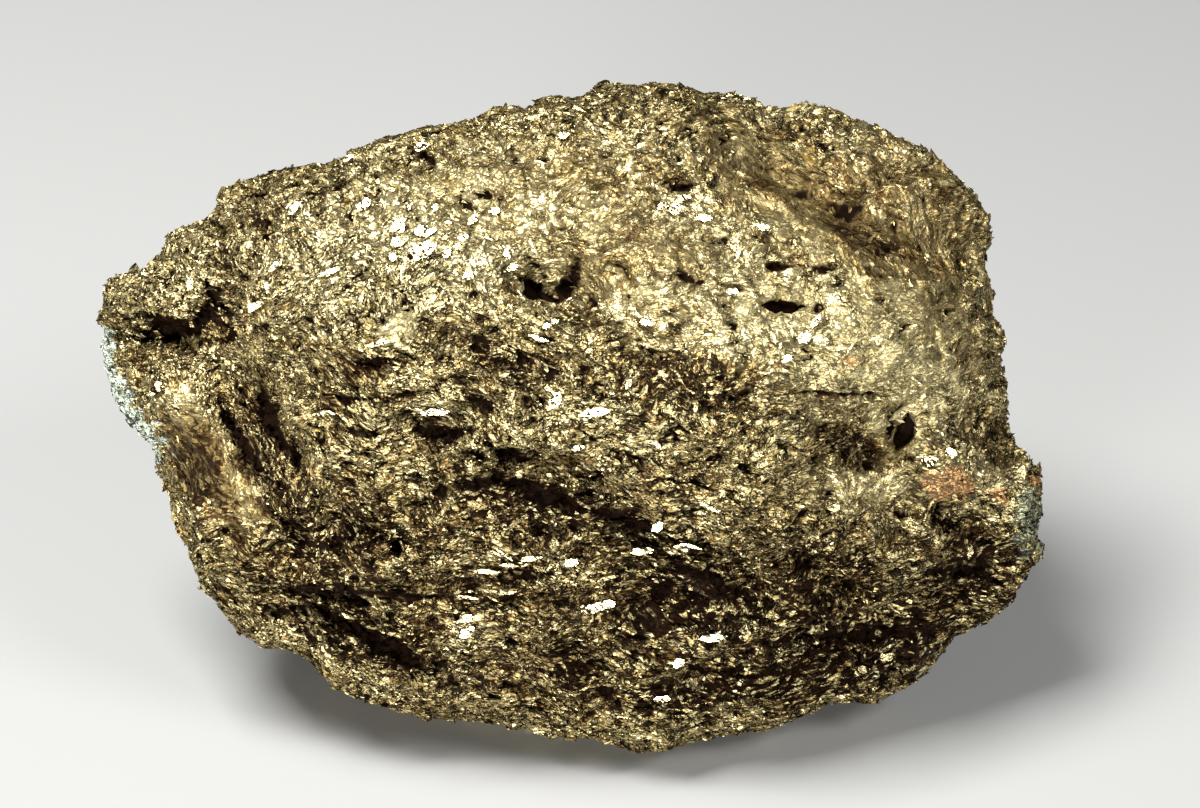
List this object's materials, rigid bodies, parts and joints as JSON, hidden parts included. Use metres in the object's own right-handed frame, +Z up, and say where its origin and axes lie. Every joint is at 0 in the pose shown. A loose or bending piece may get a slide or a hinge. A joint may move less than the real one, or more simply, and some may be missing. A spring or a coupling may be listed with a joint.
{
  "type": "chalcopyrite specimen",
  "caption": "Hand-sized lump of massive chalcopyrite ore with a crinkled, brassy broken surface, ledges and pits, lying on one flat break.",
  "frame": {"origin": "middle of the lump's bounding box, on the level surface that it lies on", "axes": "+X along the lump's length, towards the end with the rusty stains; +Y from the broad face that leans back towards the back; +Z up, away from the flat break that the lump lies on"},
  "size_m": [0.1, 0.0582, 0.0638],
  "materials": {
    "chalcopyrite": "rough broken, brassy, in places tarnished brown"
  },
  "bodies": {
    "root": {"chalcopyrite": "chalcopyrite"}
  },
  "joints": []
}
